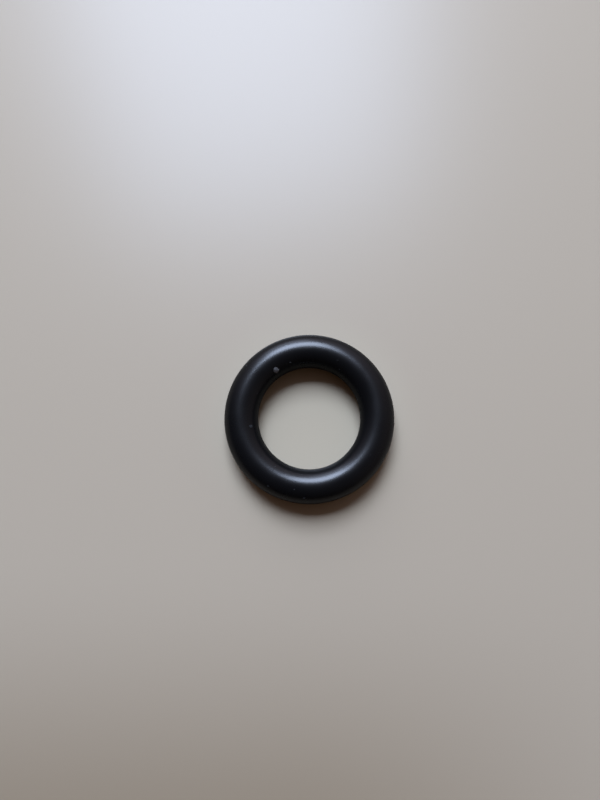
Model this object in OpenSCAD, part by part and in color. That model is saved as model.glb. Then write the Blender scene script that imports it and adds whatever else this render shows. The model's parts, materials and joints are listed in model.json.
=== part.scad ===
// Rubber o-ring: one moulded ring of round section, lying flat.
// The origin is the ring's centre, in its middle plane, and +Z is its axis.
// All sizes are in millimetres.

/* [Ring] */
// Inside diameter of the ring, over the round section
inner_d = 10.69; // [5:0.01:60]
// Diameter of the round section
section_d = 3.53; // [1.5:0.01:8]

/* [Flash line] */
// Width, along the axis, of the trimmed flash where the mould halves met
flash_w = 0.12; // [0.06:0.01:0.3]
// Height of the trimmed flash above the round section
flash_h = 0.02; // [0.01:0.01:0.1]

/* [Smoothness] */
// Steps round the ring
ring_steps = 180; // [64:4:360]
// Steps round the section
section_steps = 64; // [32:4:128]

/* [Hidden] */

rubber_black = [0.045, 0.045, 0.05];

section_r = section_d / 2;
// From the ring's axis to the middle of the section
centre_r = inner_d / 2 + section_r;
// The flash stands proud both inside and outside, as one band through the section
flash_reach = section_r + flash_h;

// The round section, in the plane that is turned about the axis
module round_section() {
    translate([centre_r, 0])
        circle(r = section_r, $fn = section_steps);
}

// The band whose two ends show as the flash line, flat where it was trimmed
module flash_section() {
    translate([centre_r - flash_reach, -flash_w / 2])
        square([2 * flash_reach, flash_w]);
}

module o_ring() {
    color(rubber_black)
        rotate_extrude($fn = ring_steps) {
            round_section();
            flash_section();
        }
}

o_ring();
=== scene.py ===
import json
import math

import bmesh
import bpy
from mathutils import Matrix, Vector, noise


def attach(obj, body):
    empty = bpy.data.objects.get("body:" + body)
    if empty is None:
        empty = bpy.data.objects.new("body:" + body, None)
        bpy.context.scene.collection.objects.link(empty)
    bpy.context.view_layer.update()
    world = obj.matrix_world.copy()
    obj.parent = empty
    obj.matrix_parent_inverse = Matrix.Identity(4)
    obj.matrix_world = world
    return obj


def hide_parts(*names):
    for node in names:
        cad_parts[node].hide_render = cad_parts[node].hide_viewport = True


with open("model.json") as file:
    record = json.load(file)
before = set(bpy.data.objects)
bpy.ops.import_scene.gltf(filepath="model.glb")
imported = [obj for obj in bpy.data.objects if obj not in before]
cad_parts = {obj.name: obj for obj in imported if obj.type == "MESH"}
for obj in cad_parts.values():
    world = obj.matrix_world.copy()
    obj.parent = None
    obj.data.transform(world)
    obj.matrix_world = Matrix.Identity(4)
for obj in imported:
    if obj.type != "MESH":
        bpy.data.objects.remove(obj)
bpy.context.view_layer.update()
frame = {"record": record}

# A black rubber o-ring lying flat on a pale floor, in soft light from the far side.
# Everything is in metres, in the part's own frame: the ring's centre is the origin and +Z its axis.

# Sizes from the frame
mounts = {mount["name"]: mount["dims"] for mount in frame["record"]["mounts"]}
innerReach = mounts["bore"]["r_mm"] / 1000          # axis to the top of the inner flash
outerReach = mounts["outer_seat"]["r_mm"] / 1000    # axis to the top of the outer flash
flashWidth = mounts["bore"]["length_mm"] / 1000
flashHeight = 0.02e-3                               # above the round section
centreRadius = (innerReach + outerReach) / 2
sectionRadius = (outerReach - innerReach) / 2 - flashHeight
floorHeight = -sectionRadius

black = (0.0, 0.0, 0.0)


def deselectAll():
    if bpy.context.object and bpy.context.object.mode != "OBJECT":
        bpy.ops.object.mode_set(mode="OBJECT")
    bpy.ops.object.select_all(action="DESELECT")


def bakePlace():
    # the place and size go into the mesh, so the object itself sits at the origin
    bpy.ops.object.transform_apply(location=True, rotation=True, scale=True)


def selectVerts(piece, test):
    mesh = bmesh.from_edit_mesh(piece.data)
    for vert in mesh.verts:
        vert.select_set(test(vert.co))
    mesh.select_flush_mode()
    bmesh.update_edit_mesh(piece.data)


def selectEdges(piece, test):
    mesh = bmesh.from_edit_mesh(piece.data)
    for edge in mesh.edges:
        edge.select_set(all(test(vert.co) for vert in edge.verts))
    mesh.select_flush_mode()
    bmesh.update_edit_mesh(piece.data)


# Camera: straight above, leaning a little to the near side
cameraSetup = {
    "photoSize": (600, 800),
    "focalPixels": 601.0,
    "lean": (-0.0069, -0.1117),   # sideways and towards the near side, per unit of height
    "distance": 8.85,             # in centre radii
    "ringAt": (309.2, 418.1),     # pixel of the ring's centre
    "clipStart": 0.002,
}


def placeCamera(setup):
    width, height = setup["photoSize"]
    focal = setup["focalPixels"]
    toCamera = Vector((*setup["lean"], 1)).normalized()
    upHint = Vector((0, 1, 0))
    right = (-toCamera).cross(upHint).normalized()
    up = right.cross(-toCamera)
    # turned a little, so that the ring's centre falls on its pixel
    shiftX = (setup["ringAt"][0] - width / 2) / focal
    shiftY = (height / 2 - setup["ringAt"][1]) / focal
    forward = (-toCamera - shiftX * right - shiftY * up).normalized()
    right = forward.cross(upHint).normalized()
    up = right.cross(forward)
    data = bpy.data.cameras.new("camera")
    data.lens = data.sensor_width * focal / height
    data.clip_start = setup["clipStart"]
    camera = bpy.data.objects.new("camera", data)
    bpy.context.scene.collection.objects.link(camera)
    place = toCamera * setup["distance"] * centreRadius
    camera.matrix_world = Matrix((
        (right.x, up.x, -forward.x, place.x),
        (right.y, up.y, -forward.y, place.y),
        (right.z, up.z, -forward.z, place.z),
        (0, 0, 0, 1),
    ))
    bpy.context.scene.camera = camera
    return camera


def pixelRay(camera, setup, pixel):
    # where the ray through a pixel starts, and its direction
    width, height = setup["photoSize"]
    x = (pixel[0] - width / 2) / setup["focalPixels"]
    y = (height / 2 - pixel[1]) / setup["focalPixels"]
    turn = camera.matrix_world.to_3x3()
    return camera.matrix_world.translation.copy(), (turn @ Vector((x, y, -1))).normalized()


# The ring: a round section, cut and raised where the mould halves met, spun about the axis
ringShape = {
    "sectionPoints": 96,
    "turnSteps": 360,
    "cutReach": 1.1,          # how far from the middle plane edges are cut, in gaps between points
    "flashCuts": 5,
    "flashWander": 0.30,      # share by which the flash's height varies
    "flashWanderTurns": 9,
    "mergeGap": 1e-6,
    "smoothAngle": 50,        # in degrees, so that the flash keeps its corners
}


def modelRing(shape):
    deselectAll()
    bpy.ops.mesh.primitive_circle_add(
        vertices=shape["sectionPoints"],
        radius=sectionRadius,
        location=(centreRadius, 0, 0),
        rotation=(math.pi / 2, 0, 0),
    )
    ring = bpy.context.object
    ring.name = "rubberRing"
    bakePlace()
    bpy.ops.object.mode_set(mode="EDIT")
    pointGap = 2 * math.pi * sectionRadius / shape["sectionPoints"]
    selectEdges(ring, lambda p: abs(p.z) < pointGap * shape["cutReach"])
    bpy.ops.mesh.subdivide(number_cuts=shape["flashCuts"])
    selectVerts(ring, lambda p: abs(p.z) < flashWidth / 2 and p.x > centreRadius)
    bpy.ops.transform.translate(value=(flashHeight, 0, 0))
    selectVerts(ring, lambda p: abs(p.z) < flashWidth / 2 and p.x < centreRadius)
    bpy.ops.transform.translate(value=(-flashHeight, 0, 0))
    bpy.ops.mesh.select_all(action="SELECT")
    bpy.ops.mesh.spin(steps=shape["turnSteps"], angle=2 * math.pi, center=(0, 0, 0), axis=(0, 0, 1))
    bpy.ops.mesh.select_all(action="SELECT")
    bpy.ops.mesh.remove_doubles(threshold=shape["mergeGap"])
    bpy.ops.mesh.normals_make_consistent(inside=False)
    bpy.ops.object.mode_set(mode="OBJECT")
    roughenFlash(ring, shape)
    bpy.ops.object.shade_smooth_by_angle(angle=math.radians(shape["smoothAngle"]))
    return ring


def roughenFlash(ring, shape):
    # trimming leaves the flash a little lower in some places than in others
    for vert in ring.data.vertices:
        reach = math.hypot(vert.co.x, vert.co.y)
        proud = abs(reach - centreRadius) - sectionRadius
        if proud < flashHeight / 2:
            continue
        turn = math.atan2(vert.co.y, vert.co.x)
        side = 1 if reach > centreRadius else -1
        spot = Vector((math.cos(turn), math.sin(turn), side)) * shape["flashWanderTurns"]
        # the noise runs from -1 to 1, and is brought to 0 to 1
        lost = shape["flashWander"] * (0.5 + 0.5 * noise.noise(spot)) * flashHeight
        scale = (reach - side * lost) / reach
        vert.co.x *= scale
        vert.co.y *= scale


# Dust: grains that lie on the ring, at their pixels in the photo
dustShape = {
    "grains": [
        # pixel, length in metres, width and height as shares of it, turn in degrees, paleness
        ((276.0, 370.3), 0.67e-3, 0.74, 0.16, -56, 1.0),
        ((251.1, 426.5), 0.42e-3, 0.85, 0.18, 20, 0.19),
        ((290.4, 362.6), 0.20e-3, 0.80, 0.25, 10, 0.25),
        ((337.6, 360.6), 0.24e-3, 0.70, 0.25, 40, 0.09),
        ((268.2, 486.2), 0.26e-3, 0.60, 0.25, -30, 0.16),
        ((304.0, 498.2), 0.24e-3, 0.50, 0.25, 5, 0.18),
    ],
    "subdivisions": 4,
    "lumpiness": 0.45,        # how far a grain departs from a smooth pebble
    "lumpScale": 2.2,         # lumps along a grain
    "fineLumpScale": 6.5,
    "fineLumpShare": 0.4,
    "lumpStep": 7.3,          # how far apart in the noise two grains are, so that no two look the same
    "fineLumpStep": 3.1,
    "sunk": 0.25,             # share of a grain's height that is under the surface
    "raySteps": 200,
    "rayGap": 1e-7,           # a ray this near the ring has met it
}


def nearestOnRing(shape, start, direction):
    # walks along the ray until it meets the round section, and gives that point and the way out of it
    point = start.copy()
    for _ in range(shape["raySteps"]):
        flat = Vector((point.x, point.y, 0))
        middle = flat.normalized() * centreRadius
        gap = (point - middle).length - sectionRadius
        if gap < shape["rayGap"]:
            break
        point += direction * gap
    return point, (point - middle).normalized()


def roughenGrain(grain, shape, number, length):
    lumpShift = Vector((number * shape["lumpStep"], 0, 0))
    fineShift = Vector((0, number * shape["fineLumpStep"], 0))
    for vert in grain.data.vertices:
        lumps = noise.noise(vert.co / length * shape["lumpScale"] + lumpShift)
        fine = noise.noise(vert.co / length * shape["fineLumpScale"] + fineShift)
        vert.co *= 1 + shape["lumpiness"] * (lumps + shape["fineLumpShare"] * fine)


def layOnRing(grain, spot, outward, turn, lift):
    # flat on the ring at a spot, turned about the way out of it
    tangent = Vector((math.cos(math.radians(turn)), math.sin(math.radians(turn)), 0))
    tangent = (tangent - outward * tangent.dot(outward)).normalized()
    across = outward.cross(tangent)
    place = spot + outward * lift
    grain.matrix_world = Matrix((
        (tangent.x, across.x, outward.x, place.x),
        (tangent.y, across.y, outward.y, place.y),
        (tangent.z, across.z, outward.z, place.z),
        (0, 0, 0, 1),
    ))
    bakePlace()


def modelDust(shape, camera):
    grains = []
    for number, (pixel, length, width, height, turn, pale) in enumerate(shape["grains"]):
        spot, outward = nearestOnRing(shape, *pixelRay(camera, cameraSetup, pixel))
        deselectAll()
        bpy.ops.mesh.primitive_ico_sphere_add(
            subdivisions=shape["subdivisions"],
            radius=length / 2,
            location=(0, 0, 0),
        )
        grain = bpy.context.object
        roughenGrain(grain, shape, number, length)
        grain.scale = (1, width, height)
        bakePlace()
        layOnRing(grain, spot, outward, turn, length * height * (0.5 - shape["sunk"]))
        bpy.ops.object.shade_smooth()
        paleness = grain.data.attributes.new("paleness", "FLOAT", "POINT")
        for point in paleness.data:
            point.value = pale
        grains.append(grain)
    deselectAll()
    for grain in grains:
        grain.select_set(True)
    bpy.context.view_layer.objects.active = grains[0]
    bpy.ops.object.join()
    grains[0].name = "dustGrains"
    return grains[0]


# Materials
def newMaterial(name):
    material = bpy.data.materials.new(name)
    material.use_nodes = True
    tree = material.node_tree
    return material, tree.nodes, tree.links, tree.nodes["Principled BSDF"]


def mathNode(nodes, links, operation, first, second):
    node = nodes.new("ShaderNodeMath")
    node.operation = operation
    for socket, value in zip(node.inputs, (first, second)):
        if isinstance(value, (int, float)):
            socket.default_value = value
        else:
            links.new(value, socket)
    return node.outputs[0]


def mixColor(nodes, links, mask, first, second, blend="MIX"):
    node = nodes.new("ShaderNodeMix")
    node.data_type = "RGBA"
    node.blend_type = blend
    for name, value in (("Factor_Float", mask), ("A_Color", first), ("B_Color", second)):
        socket = next(s for s in node.inputs if s.identifier == name)
        if isinstance(value, float):
            socket.default_value = value
        elif isinstance(value, tuple):
            socket.default_value = (*value, 1)
        else:
            links.new(value, socket)
    return next(s for s in node.outputs if s.identifier == "Result_Color")


def makeGrainGroup():
    # fine surface grain: a height, and a cloudy value for patches
    group = bpy.data.node_groups.new("fineGrain", "ShaderNodeTree")
    sockets = (
        ("Vector", "INPUT", "NodeSocketVector"),
        ("Grain per metre", "INPUT", "NodeSocketFloat"),
        ("Patches per metre", "INPUT", "NodeSocketFloat"),
        ("Height", "OUTPUT", "NodeSocketFloat"),
        ("Patches", "OUTPUT", "NodeSocketFloat"),
    )
    for name, way, kind in sockets:
        group.interface.new_socket(name=name, in_out=way, socket_type=kind)
    nodes, links = group.nodes, group.links
    source = nodes.new("NodeGroupInput")
    result = nodes.new("NodeGroupOutput")
    for scale, output, detail in (("Grain per metre", "Height", 4), ("Patches per metre", "Patches", 3)):
        cloud = nodes.new("ShaderNodeTexNoise")
        cloud.inputs["Detail"].default_value = detail
        links.new(source.outputs["Vector"], cloud.inputs["Vector"])
        links.new(source.outputs[scale], cloud.inputs["Scale"])
        links.new(cloud.outputs["Fac"], result.inputs[output])
    return group


def addGrain(nodes, links, group, grainPerMetre, patchesPerMetre=0):
    coords = nodes.new("ShaderNodeTexCoord")
    grain = nodes.new("ShaderNodeGroup")
    grain.node_tree = group
    grain.inputs["Grain per metre"].default_value = grainPerMetre
    grain.inputs["Patches per metre"].default_value = patchesPerMetre
    links.new(coords.outputs["Object"], grain.inputs["Vector"])
    return coords.outputs["Object"], grain.outputs["Height"], grain.outputs["Patches"]


def addBump(nodes, links, shader, height, distance):
    bump = nodes.new("ShaderNodeBump")
    bump.inputs["Distance"].default_value = distance
    links.new(height, bump.inputs["Height"])
    links.new(bump.outputs["Normal"], shader.inputs["Normal"])


rubberFinish = {
    "color": (0.0036, 0.0036, 0.0039),
    "dustColor": (0.10, 0.10, 0.10),
    "specular": 0.355,
    "roughness": 0.28,
    "roughnessSpread": 0.10,
    "grainPerMetre": 9000,
    "grainHeight": 2.0e-6,
    "patchesPerMetre": 500,
    "specksPerMetre": 2600,   # cells in which a speck may lie
    "speckSize": 0.08,        # as a share of a cell
    "speckShare": 0.05,       # share of the cells that hold one
}


def makeRubber(finish, group):
    material, nodes, links, shader = newMaterial("rubberBlack")
    coords, height, patches = addGrain(
        nodes, links, group, finish["grainPerMetre"], finish["patchesPerMetre"])
    # a few specks of dust: the middles of some of the cells
    cells = nodes.new("ShaderNodeTexVoronoi")
    cells.inputs["Scale"].default_value = finish["specksPerMetre"]
    links.new(coords, cells.inputs["Vector"])
    small = mathNode(nodes, links, "LESS_THAN", cells.outputs["Distance"], finish["speckSize"])
    split = nodes.new("ShaderNodeSeparateColor")
    links.new(cells.outputs["Color"], split.inputs["Color"])
    rare = mathNode(nodes, links, "LESS_THAN", split.outputs["Red"], finish["speckShare"])
    specks = mathNode(nodes, links, "MULTIPLY", small, rare)
    color = mixColor(nodes, links, specks, finish["color"], finish["dustColor"])
    links.new(color, shader.inputs["Base Color"])
    # glossier and duller patches, and no gloss on the specks
    spread = mathNode(nodes, links, "MULTIPLY", patches, finish["roughnessSpread"])
    rough = mathNode(nodes, links, "ADD", spread, finish["roughness"] - finish["roughnessSpread"] / 2)
    rough = mathNode(nodes, links, "MAXIMUM", rough, specks)
    links.new(rough, shader.inputs["Roughness"])
    shader.inputs["Specular IOR Level"].default_value = finish["specular"]
    addBump(nodes, links, shader, height, finish["grainHeight"])
    return material


dustFinish = {
    "color": (0.142, 0.142, 0.146),
    "shadeColor": (0.082, 0.082, 0.084),
    "specular": 0.02,
    "roughness": 0.8,
    "grainPerMetre": 30000,
    "grainHeight": 4e-6,
    "patchesPerMetre": 6000,
}


def makeDust(finish, group):
    material, nodes, links, shader = newMaterial("paleDust")
    _, height, patches = addGrain(nodes, links, group, finish["grainPerMetre"], finish["patchesPerMetre"])
    color = mixColor(nodes, links, patches, finish["shadeColor"], finish["color"])
    paleness = nodes.new("ShaderNodeAttribute")
    paleness.attribute_name = "paleness"
    color = mixColor(nodes, links, paleness.outputs["Fac"], black, color)
    links.new(color, shader.inputs["Base Color"])
    shader.inputs["Roughness"].default_value = finish["roughness"]
    shader.inputs["Specular IOR Level"].default_value = finish["specular"]
    addBump(nodes, links, shader, height, finish["grainHeight"])
    return material


# The floor under the ring, plain and pale, with a painted shade at the near left and painted light inside
# and by the ring
floorShape = {
    "size": 4.0,
    "color": (0.390, 0.330, 0.247),
    # painted shade: darker and warmer at the near left
    "nearPaintedShade": (0.262, 0.208, 0.141),
    # painted light: lighter inside and by the ring
    "insidePaintedLight": (0.418, 0.364, 0.267),
    # each fade goes from nothing at its first place to all at its second
    "nearShadeFade": (-0.014, -0.045),     # along Y: the painted shade comes in
    "nearEnd": (-0.065, -0.045),      # along Y: the painted shade is gone again beyond the first of these
    "leftFade": (0.046, -0.004),      # along X: the painted shade is on the left
    "insideFade": (0.0135, 0.0062),   # from the axis: the painted light inside the ring comes in
    "farFade": (0.05, 0.14),          # from the axis: the floor turns into the backdrop
    "dullFade": (0.30, 0.70),         # how slantwise it is seen, 0 to 1: its gloss goes
    "mirrored": 0.38,                 # share of the floor's colour that gloss on the ring picks up
    "mirroredInside": 0.21,           # the same for the floor inside the ring
    "roughness": 0.315,
    "specular": 0.22,
    "grainPerMetre": 900,
    "grainHeight": 4e-6,
}


def addFade(nodes, links, value, limits):
    # 0 at the first limit and 1 at the second, with soft ends
    fade = nodes.new("ShaderNodeMapRange")
    fade.interpolation_type = "SMOOTHSTEP"
    fade.inputs["From Min"].default_value, fade.inputs["From Max"].default_value = limits
    links.new(value, fade.inputs["Value"])
    return fade.outputs["Result"]


def mixShaders(nodes, links, share, first, second):
    mix = nodes.new("ShaderNodeMixShader")
    links.new(share, mix.inputs[0])
    links.new(first, mix.inputs[1])
    links.new(second, mix.inputs[2])
    return mix.outputs[0]


def makeFloor(shape, group, backdropColor):
    deselectAll()
    bpy.ops.mesh.primitive_plane_add(size=shape["size"], location=(0, 0, floorHeight))
    floor = bpy.context.object
    floor.name = "floor"
    bakePlace()
    material, nodes, links, shader = newMaterial("paleFloor")
    coords, height, _ = addGrain(nodes, links, group, shape["grainPerMetre"])
    split = nodes.new("ShaderNodeSeparateXYZ")
    links.new(coords, split.inputs["Vector"])
    # painted shade at the near left of the floor
    near = addFade(nodes, links, split.outputs["Y"], shape["nearShadeFade"])
    for axis, limits in (("Y", shape["nearEnd"]), ("X", shape["leftFade"])):
        near = mathNode(nodes, links, "MULTIPLY", near, addFade(nodes, links, split.outputs[axis], limits))
    color = mixColor(nodes, links, near, shape["color"], shape["nearPaintedShade"])
    distance = nodes.new("ShaderNodeVectorMath")
    distance.operation = "LENGTH"
    links.new(coords, distance.inputs[0])
    # painted light: the floor is lighter inside and by the ring
    inside = addFade(nodes, links, distance.outputs["Value"], shape["insideFade"])
    color = mixColor(nodes, links, inside, color, shape["insidePaintedLight"])
    # dimmer where the ring mirrors it
    path = nodes.new("ShaderNodeLightPath")
    dimming = mathNode(nodes, links, "MULTIPLY", inside, shape["mirrored"] - shape["mirroredInside"])
    dimming = mathNode(nodes, links, "ADD", dimming, 1 - shape["mirrored"])
    dimming = mathNode(nodes, links, "MULTIPLY", dimming, path.outputs["Is Glossy Ray"])
    color = mixColor(nodes, links, dimming, color, black)
    links.new(color, shader.inputs["Base Color"])
    shader.inputs["Roughness"].default_value = shape["roughness"]
    shader.inputs["Specular IOR Level"].default_value = shape["specular"]
    addBump(nodes, links, shader, height, shape["grainHeight"])
    # seen slantwise it loses its gloss, so that no glare or dark sky lies on it
    dull = nodes.new("ShaderNodeBsdfDiffuse")
    links.new(color, dull.inputs["Color"])
    slant = nodes.new("ShaderNodeLayerWeight")
    slanted = addFade(nodes, links, slant.outputs["Facing"], shape["dullFade"])
    surface = mixShaders(nodes, links, slanted, shader.outputs["BSDF"], dull.outputs["BSDF"])
    # far off it is the backdrop, so that no edge shows
    backdrop = nodes.new("ShaderNodeEmission")
    backdrop.inputs["Color"].default_value = (*backdropColor, 1)
    far = addFade(nodes, links, distance.outputs["Value"], shape["farFade"])
    far = mathNode(nodes, links, "MULTIPLY", far, path.outputs["Is Camera Ray"])
    surface = mixShaders(nodes, links, far, surface, backdrop.outputs["Emission"])
    links.new(surface, nodes["Material Output"].inputs["Surface"])
    floor.data.materials.append(material)


# Light: a cool key light high on the far side, a glow lower behind it and a dim warm surround
lightSetup = {
    "lamps": {
        # degrees from straight up, degrees from +X towards +Y,
        # width and height in degrees, brightness of its face
        "keyLight": (41, 96.6, 29.6, 27.5, 15.5),
        "keyGlow": (53, 105, 31, 48, 2.5),
    },
    "lampColor": (0.84, 1.0, 1.32),
    "lampDistance": 0.6,
    "glows": (
        # direction, colour
        ((0, 1, 0.35), (0.75, 0.66, 0.76)),
        ((1, 0, 0.35), (0.15, 0.125, 0.12)),
    ),
    "glowPower": 3,               # how fast a glow falls off round its direction
    "surroundColor": (0.065, 0.038, 0.025),
    "mirrored": 0.22,             # share of the surround that gloss on the ring picks up
    "backdrop": (0.43, 0.407, 0.388),
}


def addLamp(name, distance, color, zenith, turn, wide, tall, brightness):
    zenith, turn = math.radians(zenith), math.radians(turn)
    direction = Vector((
        math.sin(zenith) * math.cos(turn),
        math.sin(zenith) * math.sin(turn),
        math.cos(zenith),
    ))
    data = bpy.data.lights.new(name, "AREA")
    data.shape = "RECTANGLE"
    data.size = 2 * distance * math.tan(math.radians(wide) / 2)
    data.size_y = 2 * distance * math.tan(math.radians(tall) / 2)
    data.energy = brightness * math.pi * data.size * data.size_y
    data.color = color
    lamp = bpy.data.objects.new(name, data)
    bpy.context.scene.collection.objects.link(lamp)
    lamp.location = direction * distance
    lamp.rotation_mode = "QUATERNION"
    lamp.rotation_quaternion = direction.to_track_quat("Z", "Y")
    lamp.visible_camera = False


def addGlow(nodes, links, direction, way, color, power, under):
    # light that is strongest from one way and fades to nothing a quarter turn from it
    dot = nodes.new("ShaderNodeVectorMath")
    dot.operation = "DOT_PRODUCT"
    links.new(direction, dot.inputs[0])
    dot.inputs[1].default_value = Vector(way).normalized()
    facing = mathNode(nodes, links, "MAXIMUM", dot.outputs["Value"], 0.0)
    share = mathNode(nodes, links, "POWER", facing, power)
    glow = mixColor(nodes, links, share, black, color)
    return mixColor(nodes, links, 1.0, under, glow, "ADD")


def lightScene(setup):
    for name, lamp in setup["lamps"].items():
        addLamp(name, setup["lampDistance"], setup["lampColor"], *lamp)
    world = bpy.data.worlds.new("surround")
    world.use_nodes = True
    bpy.context.scene.world = world
    nodes, links = world.node_tree.nodes, world.node_tree.links
    coords = nodes.new("ShaderNodeTexCoord")
    path = nodes.new("ShaderNodeLightPath")
    dim = tuple(value * setup["mirrored"] for value in setup["surroundColor"])
    light = mixColor(nodes, links, path.outputs["Is Glossy Ray"], setup["surroundColor"], dim)
    for way, color in setup["glows"]:
        light = addGlow(nodes, links, coords.outputs["Generated"], way, color, setup["glowPower"], light)
    color = mixColor(nodes, links, path.outputs["Is Camera Ray"], light, setup["backdrop"])
    links.new(color, nodes["Background"].inputs["Color"])


camera = placeCamera(cameraSetup)
print("camera placed")
grainGroup = makeGrainGroup()
ring = modelRing(ringShape)
ring.data.materials.append(makeRubber(rubberFinish, grainGroup))
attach(ring, "root")
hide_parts("o_ring")
print("ring modelled:", len(ring.data.polygons), "faces")
dust = modelDust(dustShape, camera)
dust.data.materials.append(makeDust(dustFinish, grainGroup))
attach(dust, "root")
print("dust laid:", len(dustShape["grains"]), "grains")
makeFloor(floorShape, grainGroup, lightSetup["backdrop"])
lightScene(lightSetup)
bpy.context.scene.view_settings.view_transform = "Standard"
print("floor and light set")
